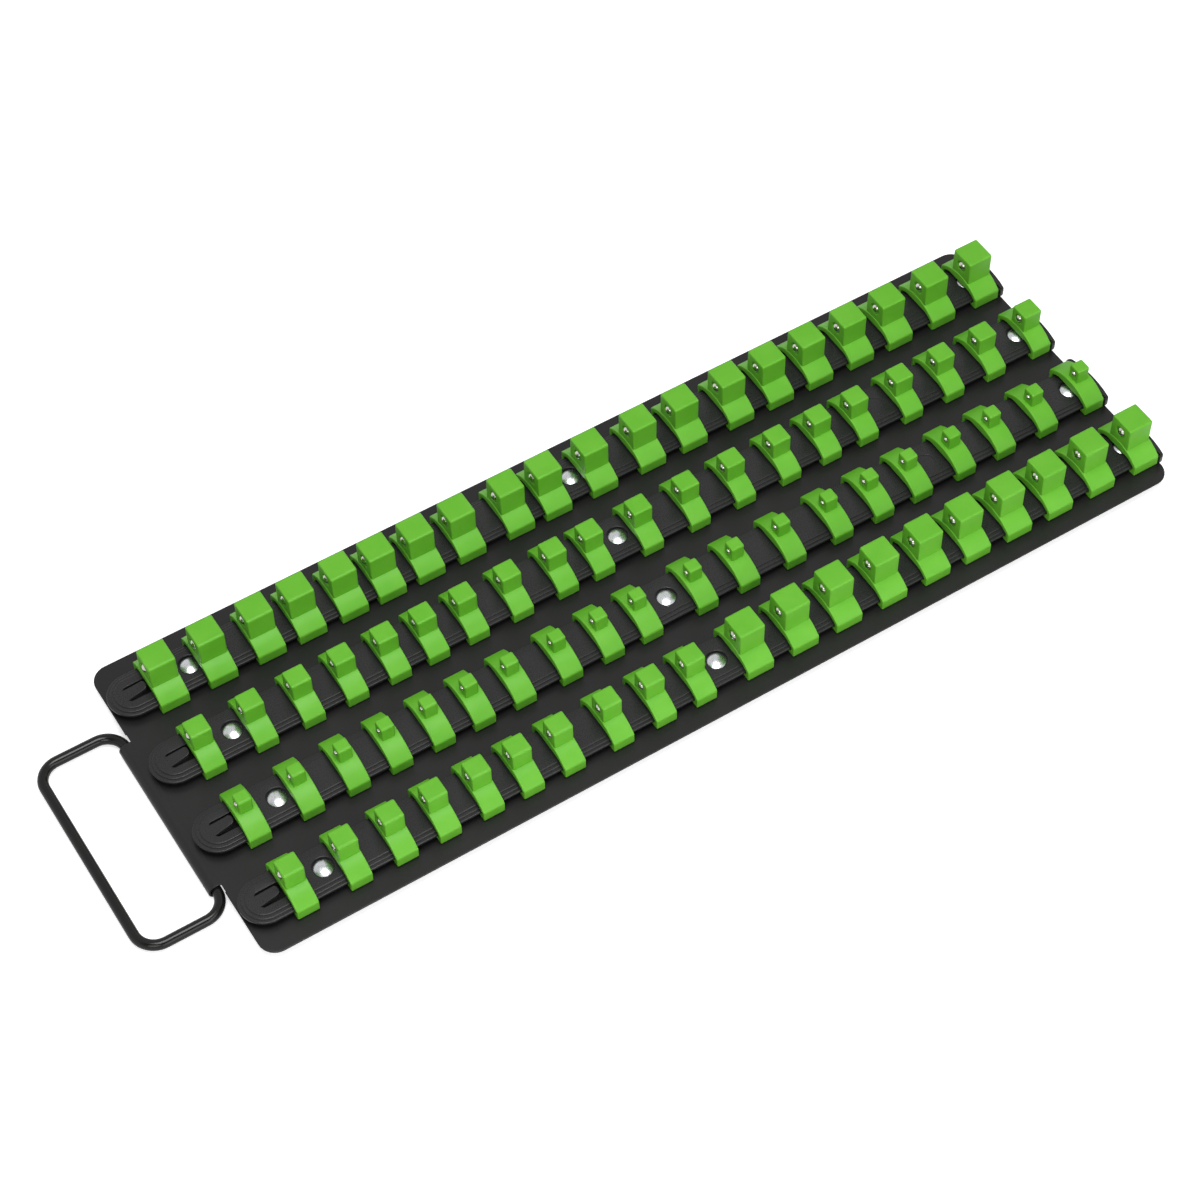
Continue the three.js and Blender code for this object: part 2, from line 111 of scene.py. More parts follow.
def inset(outline: Sequence[Point2], distance: float) -> list[Point2]:
    """Moves every side of a closed outline inwards.

    Args:
        outline: The corners, in either direction.
        distance: How far inwards; a negative distance moves the sides outwards.

    Returns:
        As many corners as before.
    """
    sign = 1 if area_of(outline) > 0 else -1
    moved: list[Point2] = []
    count = len(outline)
    for i, corner in enumerate(outline):
        here = Vector(corner)
        before = (here - Vector(outline[i - 1])).normalized()
        after = (Vector(outline[(i + 1) % count]) - here).normalized()
        normal_one = Vector((-before.y, before.x)) * sign
        normal_two = Vector((-after.y, after.x)) * sign
        middle = (normal_one + normal_two).normalized()
        stretch = 1 / max(middle.dot(normal_one), MITRE_LIMIT)
        place = here + middle * distance * stretch
        moved.append((place.x, place.y))
    return moved


def arc(centre: Point2, radius: float, start: float, end: float, steps: int) -> list[Point2]:
    """Points along an arc, its ends included, with its angles in degrees."""
    angles = [math.radians(start + (end - start) * i / steps) for i in range(steps + 1)]
    return [(centre[0] + radius * math.cos(a), centre[1] + radius * math.sin(a)) for a in angles]


def mirrored(places: Sequence[Point2]) -> list[Point2]:
    """Places on the other side of the middle line, in the order that carries an outline on."""
    return [(x, -y) for x, y in reversed(places)]


def circle(radius: float, sides: int) -> list[Point2]:
    """A round outline about zero, without its end repeated."""
    return arc((0.0, 0.0), radius, 0.0, 360.0 * (sides - 1) / sides, sides - 1)


def softened(corners: Sequence[Point3], steps: int = 3) -> list[Point2]:
    """Rounds the corners of a closed outline.

    Args:
        corners: Each corner's two coordinates and how far from it the round starts.
        steps: Sides of each round.

    Returns:
        The outline with a round at each corner whose third number isn't 0.
    """
    outline: list[Point2] = []
    count = len(corners)
    for i, (x, y, cut) in enumerate(corners):
        here = Vector((x, y))
        if cut == 0:
            outline.append((x, y))
            continue
        back = (Vector(corners[i - 1][:2]) - here).normalized() * cut + here
        ahead = (Vector(corners[(i + 1) % count][:2]) - here).normalized() * cut + here
        for step in range(steps + 1):
            t = step / steps
            place = back * (1 - t) ** 2 + here * 2 * t * (1 - t) + ahead * t**2
            outline.append((place.x, place.y))
    return outline


def inside(place: Point2, outline: Sequence[Point2]) -> bool:
    """Whether a place lies within a closed outline."""
    hit = False
    for (x1, y1), (x2, y2) in zip(outline, [*outline[1:], outline[0]]):
        if (y1 > place[1]) != (y2 > place[1]):
            if place[0] < (x2 - x1) * (place[1] - y1) / (y2 - y1) + x1:
                hit = not hit
    return hit


@dataclass
class Skin:
    """The points and faces of one mesh, in millimetres of the tray's layout."""

    points: list[Point3] = field(default_factory=list)
    faces: list[tuple[int, ...]] = field(default_factory=list)

    def ring(self, places: Iterable[Point3]) -> Ring:
        """Adds points and returns their numbers."""
        start = len(self.points)
        self.points.extend(places)
        return list(range(start, len(self.points)))

    def bridge(self, one: Ring, other: Ring) -> None:
        """Joins two closed rings of as many points with a band of faces."""
        count = len(one)
        for i in range(count):
            j = (i + 1) % count
            self.faces.append((one[i], one[j], other[j], other[i]))

    def stack(self, rings: Sequence[Ring]) -> None:
        """Joins a row of rings, each with the next."""
        for one, other in zip(rings, rings[1:]):
            self.bridge(one, other)

    def cap(self, *rings: Ring) -> None:
        """Closes each ring with one face."""
        self.faces.extend(tuple(ring) for ring in rings)

    def flat(
        self, outer: Ring, axis: int, holes: Sequence[Ring] = (), creases: Sequence[Edge] = ()
    ) -> None:
        """Fills a flat face that may have holes.

        Args:
            outer: The ring round the face.
            axis: The coordinate that the face doesn't spread along.
            holes: The rings of its holes.
            creases: Pairs of points that an edge must join.
        """
        loops = [outer, *holes]
        order = [i for loop in loops for i in loop]
        place = {number: k for k, number in enumerate(order)}
        flat = [Vector((*self.points[i][:axis], *self.points[i][axis + 1 :])) for i in order]
        edges = [(place[a], place[b]) for loop in loops for a, b in zip(loop, loop[1:] + loop[:1])]
        edges += [(place[a], place[b]) for a, b in creases]
        made, _, triangles, origin, _, _ = delaunay_2d_cdt(flat, edges, [], 0, TOUCH)
        outlines = [[tuple(flat[place[i]]) for i in loop] for loop in loops]
        for triangle in triangles:
            middle = sum((made[i] for i in triangle), Vector((0.0, 0.0))) / 3
            if inside(tuple(middle), outlines[0]) and not any(
                inside(tuple(middle), hole) for hole in outlines[1:]
            ):
                self.faces.append(tuple(order[origin[i][0]] for i in triangle))

    def draw(
        self, outline: Sequence[Point2], reach: Point2, rounding: float, axis: int = 0,
        steps: int = 3, rims: Sequence[Ring] = (),
    ) -> None:
        """Draws an outline out along an axis, its edges rounded and its ends closed.

        Args:
            outline: The section, in the other two coordinates.
            reach: Where the form starts and ends.
            rounding: Radius of the edges at both ends.
            axis: 0, 1 or 2 for x, y or z.
            steps: Sides of each rounded edge.
            rims: Rings of the holes in the face where the form starts.
        """
        start, end = reach
        angles = [math.pi / 2 * i / steps for i in range(steps + 1)]
        rounds = [(rounding * (1 - math.sin(a)), rounding * (1 - math.cos(a))) for a in angles]
        levels = [(inwards, start + along) for inwards, along in rounds]
        levels += [(inwards, end - along) for inwards, along in reversed(rounds)]
        rings = [
            self.ring((*place[:axis], level, *place[axis:]) for place in inset(outline, inwards))
            for inwards, level in levels
        ]
        self.stack(rings)
        self.flat(rings[-1], axis)
        self.flat(rings[0], axis, rims)

    def turn(self, profile: Sequence[Point2], sides: int, axis: int = 2) -> None:
        """Turns a profile about an axis, closed at both ends.

        Args:
            profile: Radius of each ring and its place on the axis; the two ends' radius is 0.
            sides: Sides of each ring.
            axis: 0 for a form that lies along the rails, and 2 for an upright one.
        """
        rings = [
            self.ring((*place[:axis], level, *place[axis:]) for place in circle(radius, sides))
            for radius, level in profile[1:-1]
        ]
        self.stack(rings)
        for (_, level), rim in zip((profile[0], profile[-1]), (rings[0], rings[-1])):
            tip = self.ring([tuple(level if k == axis else 0.0 for k in range(3))])
            for i in range(sides):
                self.faces.append((tip[0], rim[i], rim[(i + 1) % sides]))

    def mesh(self, name: str, place: Point3 = (LEFT_EDGE_X, 0.0, TOP_FACE_Z)) -> Mesh:
        """Makes the mesh in metres, faces outwards and softly shaded.

        Args:
            name: The mesh's name.
            place: Where the layout's zero lies, in millimetres.

        Returns:
            The new mesh.
        """
        mesh = bpy.data.meshes.new(name)
        shifted = [tuple((p[k] + place[k]) * MM for k in range(3)) for p in self.points]
        mesh.from_pydata(shifted, [], self.faces)
        work = bmesh.new()
        work.from_mesh(mesh)
        bmesh.ops.remove_doubles(work, verts=work.verts, dist=WELD)
        bmesh.ops.recalc_face_normals(work, faces=work.faces)
        work.to_mesh(mesh)
        work.free()
        mesh.shade_smooth()
        mesh.set_sharp_from_angle(angle=SHARP_ANGLE)
        return mesh


# Finishes


@dataclass(frozen=True)
class Finish:
    """What every finish shares: a name and the nodes of its surface."""

    name: str
    colour: str
    roughness: float

    def material(self) -> bpy.types.Material:
        """Makes the material, or gives the one already made."""
        known = bpy.data.materials.get(self.name)
        if known:
            return known
        material = bpy.data.materials.new(self.name)
        material.use_nodes = True
        tree = material.node_tree
        tree.nodes.clear()
        shader = add(
            tree, "ShaderNodeBsdfPrincipled", Roughness=self.roughness, Base_Color=linear(self.colour)
        )
        add(tree, "ShaderNodeOutputMaterial", Surface=shader)
        place = add(tree, "ShaderNodeTexCoord")
        scale = {"operation": "SCALE"}
        mm = add(tree, "ShaderNodeVectorMath", scale, Vector=place.outputs["Object"], Scale=1 / MM)
        self.dress(tree, shader, mm)
        return material

    def dress(self, tree: Tree, shader: Node, mm: Node) -> None:
        """Adds the finish's own detail; mm is the place on the piece in millimetres."""
        raise NotImplementedError

    def vary(
        self,
        tree: Tree,
        shader: Node,
        tones: tuple[Node, str, str, Point2],
        gloss: tuple[Node, float, float],
        relief: tuple[Node, float, float],
    ) -> None:
        """Lets noise drive the surface's tone, roughness and relief.

        Args:
            tree: The material's nodes.
            shader: The surface.
            tones: A noise, the colours at its two ends, and where in it they start and end.
            gloss: A noise, and the roughness at its two ends.
            relief: A noise, the relief's strength, and its depth in millimetres.
        """
        noise, low, high, reach = tones
        ramp = add(tree, "ShaderNodeValToRGB", Fac=noise)
        for element, colour, position in zip(ramp.color_ramp.elements, (low, high), reach):
            element.position = position
            element.color = linear(colour)
        noise, smooth, rough = gloss
        blur = add(tree, "ShaderNodeMapRange", Value=noise, To_Min=smooth, To_Max=rough)
        noise, strength, depth = relief
        bump = add(tree, "ShaderNodeBump", Height=noise, Strength=strength, Distance=depth * MM)
        feed(tree, shader, Base_Color=ramp, Roughness=blur, Normal=bump)


def feed(tree: Tree, node: Node, **inputs: object) -> None:
    """Sets or links a node's inputs.

    Args:
        tree: The node tree.
        node: The node.
        **inputs: A value, an output socket or a node, for its first output, for each input, by
            the input's name with _ for a space, or by input_ and its number.
    """
    for key, value in inputs.items():
        number = key.removeprefix("input_")
        socket = node.inputs[int(number) if number.isdigit() else key.replace("_", " ")]
        if isinstance(value, Node):
            value = value.outputs[0]
        if isinstance(value, Socket):
            tree.links.new(value, socket)
        else:
            socket.default_value = value


def add(tree: Tree, kind: str, settings: dict[str, object] | None = None, **inputs: object) -> Node:
    """Adds a node with its settings, values and links.

    Args:
        tree: The node tree.
        kind: The node's type name.
        settings: Properties of the node.
        **inputs: Its inputs, as feed takes them.

    Returns:
        The new node.
    """
    node = tree.nodes.new(kind)
    for key, value in (settings or {}).items():
        setattr(node, key, value)
    feed(tree, node, **inputs)
    return node


@dataclass(frozen=True)
class PowderCoat(Finish):
    """Black polyester powder coat, sprayed dry and baked: satin, with a fine orange peel."""

    lighter: str
    gloss: float
    drift_mm: float = 55.0
    drift_reach: Point2 = (0.35, 0.7)
    drift_gloss: float = 0.06
    peel_mm: float = 0.9
    peel_height: float = 0.02
    peel_strength: float = 0.35

    def dress(self, tree: Tree, shader: Node, mm: Node) -> None:
        """Peel in the relief, and a slow drift of tone and gloss over the sheet."""
        feed(tree, shader, Specular_IOR_Level=self.gloss)
        drift = add(tree, "ShaderNodeTexNoise", Vector=mm, Scale=1 / self.drift_mm, Detail=3.0)
        peel = add(tree, "ShaderNodeTexNoise", Vector=mm, Scale=1 / self.peel_mm, Detail=2.0)
        self.vary(
            tree,
            shader,
            (drift, self.colour, self.lighter, self.drift_reach),
            (drift, self.roughness - self.drift_gloss, self.roughness + self.drift_gloss),
            (peel, self.peel_strength, self.peel_height),
        )


@dataclass(frozen=True)
class MouldedPlastic(Finish):
    """Injection-moulded plastic: an even tone with faint flow marks and a fine spark grain."""

    lighter: str
    gloss: float
    flow_mm: float = 26.0
    flow_reach: Point2 = (0.35, 0.65)
    grain_mm: float = 0.35
    grain_gloss: float = 0.05
    grain_height: float = 0.006
    grain_strength: float = 0.25
    glow: float = 0.0
    glow_radii: Point3 = (0.6, 1.0, 0.3)
    glow_mm: float = 1.2

    def dress(self, tree: Tree, shader: Node, mm: Node) -> None:
        """Flow marks in the tone, and the mould's grain in relief and gloss."""
        feed(tree, shader, Specular_IOR_Level=self.gloss)
        flow = add(tree, "ShaderNodeTexNoise", Vector=mm, Scale=1 / self.flow_mm, Detail=2.0)
        grain = add(tree, "ShaderNodeTexNoise", Vector=mm, Scale=1 / self.grain_mm, Detail=2.0)
        self.vary(
            tree,
            shader,
            (flow, self.colour, self.lighter, self.flow_reach),
            (grain, self.roughness - self.grain_gloss, self.roughness + self.grain_gloss),
            (grain, self.grain_strength, self.grain_height),
        )
        if self.glow:
            feed(
                tree, shader, Subsurface_Weight=self.glow, Subsurface_Radius=self.glow_radii,
                Subsurface_Scale=self.glow_mm * MM,
            )


@dataclass(frozen=True)
class PlatedSteel(Finish):
    """Bright plated or polished steel: mirror-like, with fine rubbing marks that blur it."""

    darker: str
    mark_mm: float = 0.5
    mark_reach: Point2 = (0.3, 0.6)
    mark_gloss_shares: Point2 = (0.7, 1.4)
    mark_height: float = 0.004
    mark_strength: float = 0.3

    def dress(self, tree: Tree, shader: Node, mm: Node) -> None:
        """Rubbing marks in the gloss and the relief, and a faint change of tone."""
        feed(tree, shader, Metallic=1.0)
        marks = add(tree, "ShaderNodeTexNoise", Vector=mm, Scale=1 / self.mark_mm, Detail=4.0)
        smooth, rough = (self.roughness * share for share in self.mark_gloss_shares)
        self.vary(
            tree,
            shader,
            (marks, self.darker, self.colour, self.mark_reach),
            (marks, smooth, rough),
            (marks, self.mark_strength, self.mark_height),
        )


SHEET_COAT = PowderCoat("steel_powder_coated_black", "191818", 0.33, "1E1D1D", 0.37)
ROD_COAT = PowderCoat("round_rod_dip_coated_black", "121111", 0.17, "171615", 0.32, peel_mm=1.6)
RAIL_PLASTIC = MouldedPlastic(
    "polypropylene_moulded_black", "252525", 0.28, "2A2A2A", 0.34, grain_height=0.003
)
CLIP_PLASTIC = MouldedPlastic(
    "polypropylene_moulded_green", "65B42D", 0.4, "6CB934", 0.3, flow_mm=14.0, glow=0.06
)
RIVET_PLATE = PlatedSteel("steel_rivet_zinc_plated", "E6E8EA", 0.27, "CDD0D4")
BALL_CHROME = PlatedSteel("bearing_steel_chromed", "E6E3DC", 0.1, "C9C5BC")
SPRING_WIRE = PlatedSteel("spring_steel_drawn_wire", "B9BCC0", 0.3, "8F9296")


# Drives


@dataclass(frozen=True)
class DriveSize:
    """Sizes of one drive: post, bridge's width, height, and radii of ball, mouth, ring and wire."""

    label: str
    post: float
    base: float
    height: float
    ball: float
    mouth: float
    ring: float
    wire: float


class Drive(Enum):
    """The square drives that the posts hold."""

    HALF_INCH = DriveSize("half_inch", 12.7, 13.3, 23.1, 2.4, 2.2, 2.9, 0.35)
    THREE_EIGHTHS = DriveSize("three_eighths", 9.53, 10.13, 20.5, 2.0, 1.8, 2.4, 0.3)
    QUARTER_INCH = DriveSize("quarter_inch", 6.35, 10.13, 18.8, 1.2, 1.05, 1.5, 0.2)


# Pieces


def show(
    mesh: Mesh, name: str, finish: Finish, body: str, replaces: Sequence[str] = ()
) -> bpy.types.Object:
    """Puts a finished mesh in the scene as a piece of the tray.

    Args:
        mesh: The mesh, with its place in its points.
        name: The piece's name.
        finish: What it is made of.
        body: The CAD body that it moves with.
        replaces: The CAD nodes that it stands for.

    Returns:
        The new object.
    """
    piece = bpy.data.objects.new(name, mesh)
    bpy.context.scene.collection.objects.link(piece)
    mesh.materials.clear()
    mesh.materials.append(finish.material())
    soften = piece.modifiers.new("even_shading", "WEIGHTED_NORMAL")
    soften.keep_sharp = True
    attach(piece, body)
    if replaces:
        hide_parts(*replaces)
    LOG.info("%s: %d faces on %s", name, len(mesh.polygons), body)
    return piece


def copy_at(mesh: Mesh, name: str, place: Point3) -> Mesh:
    """A copy of a mesh, moved by a place in metres."""
    moved = mesh.copy()
    moved.name = name
    moved.transform(Matrix.Translation(Vector(place)))
    return moved


def node_group(name: str, inputs: dict[str, str], output: str) -> tuple[Tree, Node]:
    """Makes an empty Geometry Nodes tree.

    Args:
        name: The tree's name.
        inputs: What each of its inputs takes: Geometry, Float, Object or Material.
        output: The name of the geometry that it gives.

    Returns:
        The tree, and the node that its inputs come from.
    """
    tree = bpy.data.node_groups.new(name, "GeometryNodeTree")
    for label, kind in inputs.items():
        tree.interface.new_socket(label, in_out="INPUT", socket_type=f"NodeSocket{kind}")
    tree.interface.new_socket(output, in_out="OUTPUT", socket_type="NodeSocketGeometry")
    return tree, add(tree, "NodeGroupInput")


def dress_and_end(tree: Tree, geometry: Node, start: Node) -> None:
    """Ends a Geometry Nodes tree: instances made real, with the finish that its input names."""
    real = add(tree, "GeometryNodeRealizeInstances", Geometry=geometry)
    dressed = add(tree, "GeometryNodeSetMaterial", Geometry=real, Material=start.outputs["Finish"])
    add(tree, "NodeGroupOutput", input_0=dressed)


def grown(tree: Tree, base: Mesh, **values: object) -> Mesh:
    """Runs a Geometry Nodes tree on a mesh.

    Args:
        tree: The tree.
        base: The mesh that it starts from.
        **values: A value for each of its other inputs, with _ for a space.

    Returns:
        What it makes, as a plain mesh.
    """
    carrier = bpy.data.objects.new("carrier", base)
    bpy.context.scene.collection.objects.link(carrier)
    modifier = carrier.modifiers.new("grow", "NODES")
    modifier.node_group = tree
    sockets = {item.name: item.identifier for item in tree.interface.items_tree}
    for key, value in values.items():
        modifier[sockets[key.replace("_", " ")]] = value
    graph = bpy.context.evaluated_depsgraph_get()
    mesh = bpy.data.meshes.new_from_object(carrier.evaluated_get(graph), depsgraph=graph)
    bpy.data.objects.remove(carrier)
    mesh.shade_smooth()
    mesh.set_sharp_from_angle(angle=SHARP_ANGLE)
    return mesh


def repeated(form: Mesh, places: Sequence[Point3], finish: Finish) -> Mesh:
    """Puts a form at many places with Geometry Nodes.

    Args:
        form: The mesh to repeat, about zero.
        places: Where it goes, in metres.
        finish: What it is made of.

    Returns:
        One plain mesh with every copy in its place.
    """
    tree = bpy.data.node_groups.get("repeat_form")
    if not tree:
        inputs = {"Places": "Geometry", "Form": "Object", "Finish": "Material"}
        tree, start = node_group("repeat_form", inputs, "Pieces")
        whole = {"transform_space": "ORIGINAL"}
        info = add(tree, "GeometryNodeObjectInfo", whole, Object=start.outputs["Form"])
        put = add(
            tree, "GeometryNodeInstanceOnPoints", Points=start, Instance=info.outputs["Geometry"]
        )
        dress_and_end(tree, put, start)
    holder = bpy.data.objects.new("form_to_repeat", form)
    points = bpy.data.meshes.new("places")
    points.from_pydata([tuple(p) for p in places], [], [])
    mesh = grown(tree, points, Form=holder, Finish=finish.material())
    bpy.data.objects.remove(holder)
    return mesh


@dataclass
class TraySheet:
    """The flat sheet with rounded corners and the tab rolled down round the handle."""

    length: float = 460.4
    depth: float = 164.4
    corner: float = 8.0
    corner_steps: int = 8
    rounding: float = 0.3
    seam_width: float = 82.4
    seam_inner: float = 2.65
    seam_outer: float = 3.65
    seam_reach: float = 2.0
    seam_tuck: float = 6.0
    seam_sweep: float = 225.0
    seam_steps: int = 26
    seam_rounding: float = 0.2
    notch_width: float = 4.3
    notch_depth: float = 0.4

    def outline(self) -> list[Point2]:
        """The sheet's outline, with a notch at each end of the tab."""
        half, far, r, steps = self.depth / 2, self.length, self.corner, self.corner_steps
        inner, cut = self.seam_width / 2, self.notch_depth
        outer = inner + self.notch_width
        back = [
            *arc((far - r, half - r), r, 0, 90, steps), *arc((r, half - r), r, 90, 180, steps),
            (0.0, outer), (cut, outer), (cut, inner), (0.0, inner),
        ]
        return back + mirrored(back)

    def seam(self) -> list[Point2]:
        """The rolled tab's section in x and z, with z = 0 on the sheet's upper face."""
        centre = (-self.seam_reach, -SHEET - self.seam_inner)
        end = 90 + self.seam_sweep
        outside = arc(centre, self.seam_outer - OVERLAP, 90, end, self.seam_steps)
        within = arc(centre, self.seam_inner, end, 90, self.seam_steps)
        return [(self.seam_tuck, -SHEET + OVERLAP), (self.seam_tuck, -OVERLAP), *outside, *within]

    def build(self) -> None:
        """Makes the sheet and shows it."""
        skin = Skin()
        skin.draw(self.outline(), (-SHEET, 0.0), self.rounding, axis=2, steps=2)
        half = self.seam_width / 2
        skin.draw(self.seam(), (-half, half), self.seam_rounding, axis=1, steps=2)
        show(skin.mesh("tray_sheet"), "tray_sheet", SHEET_COAT, "tray", ["tray_plate"])


@dataclass
class CarryHandle:
    """The round rod, bent to a closed loop whose ends meet inside the rolled tab."""

    reach: float = 38.0
    span: float = 102.8
    bend: float = 9.8
    radius: float = 2.4
    gap: float = 1.0
    hinge_x: float = -TraySheet.seam_reach
    hinge_z: float = -SHEET - TraySheet.seam_inner
    sides: int = 20
    bend_steps: int = 12

    def path(self) -> list[Point2]:
        """The rod's centre line in x and y."""
        half, r = self.span / 2, self.bend
        right, left = self.hinge_x, self.hinge_x - self.reach
        centres = [(right - r, half - r), (left + r, half - r)]
        centres += mirrored(centres)
        path = [(right, self.gap / 2)]
        for i, centre in enumerate(centres):
            path += arc(centre, r, 90 * i, 90 * (i + 1), self.bend_steps)
        return [*path, (right, -self.gap / 2)]

    def build(self) -> None:
        """Makes the handle and shows it."""
        skin = Skin()
        path = [Vector(p) for p in self.path()]
        rings = []
        for i, place in enumerate(path):
            ahead = (path[min(i + 1, len(path) - 1)] - path[max(i - 1, 0)]).normalized()
            across = Vector((-ahead.y, ahead.x))
            rings.append(
                skin.ring(
                    (place.x + across.x * u, place.y + across.y * u, self.hinge_z + v)
                    for u, v in circle(self.radius, self.sides)
                )
            )
        skin.stack(rings)
        skin.cap(rings[0], rings[-1])
        show(skin.mesh("carry_rod"), "carry_rod", ROD_COAT, "handle", ["carry_handle"])


@dataclass
class Rail:
    """One moulded rail: stepped lips, round left end, stop tongue, recesses and head."""

    number: int
    y: float
    top: float = 5.4
    foot: float = 8.5

    # Half-width and height of each lip's upper edge, from the sheet up.
    lips: tuple[Point2, ...] = ((11.2, 4.2), (9.7, 4.8), (8.0, top))
    lip_underside: float = 3.0
    lip_round: float = 0.45
    lip_edge: float = 0.2
    lip_bevel: float = 0.05
    lip_steps: int = 5
    end_x: float = 11.2
    end_steps: int = 28

    head_left: float = 459.0
    head_bite: float = 1.0
    head_thickness: float = 4.08
    head_half: float = 14.6
    head_corner: float = 1.9
    head_corner_steps: int = 6
    head_crown: float = 1.7
    head_bow_share: float = 0.84
    head_bow_steps: int = 7

    # How far in and how high each ring of the head lies, from its underside to the rim line.
    head_levels: tuple[Point2, ...] = (
        (0.35, 1.5), (0.1, 1.6), (0.0, 1.85), (0.0, 5.05), (0.1, 5.3), (0.35, top),
        (0.75, top), (0.85, 5.28), (1.0, 5.28), (1.1, top),
    )

    slot_start: float = 8.2
    slot_shoulder: float = 1.4
    slot_shoulder_steps: int = 4
    slot_end: float = 19.7
    slot_half: float = 3.95
    slot_round: float = 1.0
    slot_round_steps: int = 5
    slot_edge: float = 0.22
    tongue_tip: float = 17.7
    tongue_half: float = 2.9
    tongue_end: float = 2.3
    tongue_round: float = 1.8
    tongue_round_steps: int = 6
    tongue_thick: float = 1.8
    tongue_lift: float = 2.1

    recess: float = 4.9
    recess_depth: float = 1.4
    recess_edge: float = 0.3
    recess_bevel: float = 0.09
    recess_sides: int = 32
    hole: float = 2.75
    seats: tuple[float, ...] = (38.4, 230.2, 449.4)
    spare_seat: float = 368.32
    spare_depth: float = 0.4

    def level(self, half: float) -> list[Point2]:
        """The rail's outline at one half-width, open-ended inside the head."""
        right = self.head_left + self.head_bite
        return [(right, -half), (right, half), *arc((self.end_x, 0.0), half, 90, 270, self.end_steps)]

    def profile(self) -> list[Point2]:
        """Half-width and height of each ring, from the sheet up, with every edge softened."""
        (widest, _), low, r = self.lips[0], self.lip_underside, self.lip_round
        rings = [
            (self.foot, 0.0), (self.foot, low), (widest - self.lip_edge, low),
            (widest - self.lip_bevel, low + self.lip_bevel), (widest, low + self.lip_edge),
        ]
        for i, (half, top) in enumerate(self.lips):
            if i:
                rings.append((half, self.lips[i - 1][1]))
            rings += arc((half - r, top - r), r, 0, 90, self.lip_steps)
        return rings

    def tongue_top(self, x: float) -> float:
        """Height of the tongue's upper face."""
        run = (x - self.slot_start) / (self.tongue_tip - self.slot_start)
        return self.top + self.tongue_lift * max(run, 0.0) ** 2

    def slot_outline(self) -> tuple[list[Point2], int]:
        """The U round the tongue, and where in it the tongue's own part starts."""
        start, root = self.slot_start, self.tongue_half
        r, bend, side = self.slot_round, self.tongue_round, self.slot_half - self.slot_round
        near, far = start + self.slot_shoulder, self.slot_end - r
        back = [
            (start, root), *arc((near, side), r, 150, 90, self.slot_shoulder_steps),
            *arc((far, side), r, 90, 0, self.slot_round_steps),
        ]
        outer = back + mirrored(back)
        centre = (self.tongue_tip - bend, self.tongue_end - bend)
        end = arc(centre, bend, 0, 90, self.tongue_round_steps)
        return [*outer, *mirrored(end), *end], len(outer)

    def cut_slot(self, skin: Skin) -> tuple[Ring, Ring, Edge]:
        """Cuts the U slot down to the sheet and closes the tongue's underside.

        Args:
            skin: Where the faces go.

        Returns:
            The slot's ring on the upper face, its ring on the underside, and the two points
            that the tongue's root crease joins.
        """
        outline, split = self.slot_outline()

        def lifted(places: Sequence[Point2], drop: float) -> list[Point3]:
            """The places on the upper face or the tongue, lowered by the drop."""
            return [
                (x, y, (self.tongue_top(x) if i >= split else self.top) - drop)
                for i, (x, y) in enumerate(places)
            ]

        rim = skin.ring(lifted(inset(outline, -self.slot_edge), 0.0))
        lip = skin.ring(lifted(outline, self.slot_edge))
        skin.bridge(rim, lip)
        floor = skin.ring((x, y, 0.0) for x, y in outline[:split])
        under = skin.ring((x, y, self.tongue_top(x) - self.tongue_thick) for x, y in outline[split:])
        sides = (self.tongue_half, -self.tongue_half)
        root = skin.ring((self.slot_start, y, self.top - self.tongue_thick) for y in sides)
        for i in range(1, split - 2):
            skin.faces.append((lip[i], lip[i + 1], floor[i + 1], floor[i]))
        skin.faces.append((lip[0], lip[1], floor[1], floor[0], root[0]))
        skin.faces.append((lip[split - 2], lip[split - 1], root[1], floor[split - 1], floor[split - 2]))
        chain = [root[1], *under, root[0]]
        upper = [lip[split - 1], *lip[split:], lip[0]]
        for i in range(len(chain) - 1):
            skin.faces.append((upper[i], upper[i + 1], chain[i + 1], chain[i]))
        skin.cap(chain)
        skin.faces.append((root[0], root[1], floor[split - 1], floor[0]))
        return rim, floor, (rim[0], rim[split - 1])

    def cut_seat(self, skin: Skin, x: float, depth: float, hole: float) -> tuple[Ring, Ring]:
        """Cuts a round recess, with a hole through its floor where hole isn't 0.

        Args:
            skin: Where the faces go.
            x: Where along the rail.
            depth: Depth of the recess.
            hole: Radius of the hole.

        Returns:
            The recess's ring on the upper face, and the hole's on the underside.
        """
        edge, bevel = self.recess_edge, self.recess_bevel
        levels = [(self.recess + edge, 0.0), (self.recess + bevel, bevel), (self.recess, edge)]
        levels += [(self.recess, depth)] if depth > edge else []
        levels += [(hole, depth), (hole, self.top)] if hole else []
        rings = [
            skin.ring((x + u, v, self.top - down) for u, v in circle(radius, self.recess_sides))
            for radius, down in levels
        ]
        skin.stack(rings)
        if not hole:
            skin.cap(rings[-1])
            return rings[0], []
        return rings[0], rings[-1]

    def head(self, skin: Skin) -> None:
        """The end-stop head: crowned outside, with a fine rim line round its top."""
        left, half, cut, steps = self.head_left, self.head_half, self.head_corner, self.head_bow_steps
        right = left + self.head_thickness
        shares = [self.head_bow_share * t / steps for t in range(-steps, steps + 1)]
        bow = [(right - self.head_crown * share**2, half * share, 0.0) for share in shares]
        edge = right - self.head_crown
        corners = [(left, -half, 0.0), (edge, -half, cut), *bow, (edge, half, cut), (left, half, 0.0)]
        outline = softened(corners, self.head_corner_steps)
        rings = [
            skin.ring((x, y, z) for x, y in inset(outline, inwards)) for inwards, z in self.head_levels
        ]
        skin.stack(rings)
        skin.cap(rings[0], rings[-1])

